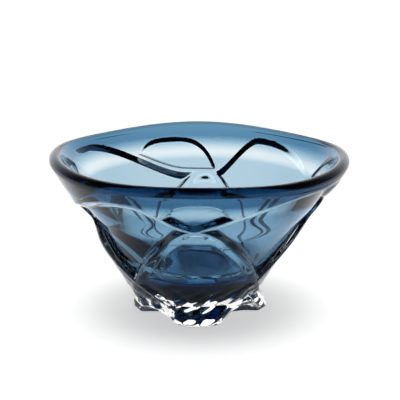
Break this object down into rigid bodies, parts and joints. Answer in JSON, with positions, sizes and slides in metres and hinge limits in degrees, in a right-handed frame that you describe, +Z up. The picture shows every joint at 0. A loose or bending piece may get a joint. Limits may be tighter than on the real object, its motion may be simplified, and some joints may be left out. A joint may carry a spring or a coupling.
{
  "type": "art glass bowl",
  "caption": "Heavy cased glass bowl: a blue inner bowl under clear glass pressed into dishes and ridges, on a clear foot with toes, with a gently waved polished lip.",
  "frame": {"origin": "centre of the ground base, on the plane it rests on", "axes": "+Z up along the bowl's axis; toes and upper ridge crossings point along +X, -X, +Y and -Y, and -Y is the front"},
  "size_m": [0.2513, 0.2513, 0.138],
  "materials": {
    "blue_glass": "polished blue glass, seen through the casing",
    "casing_glass": "fire-polished colourless glass",
    "foot_glass": "fire-polished colourless glass with a ground base"
  },
  "bodies": {
    "root": {"blue_inner_bowl": "blue_glass", "clear_casing": "casing_glass", "clear_foot": "foot_glass"}
  },
  "joints": []
}
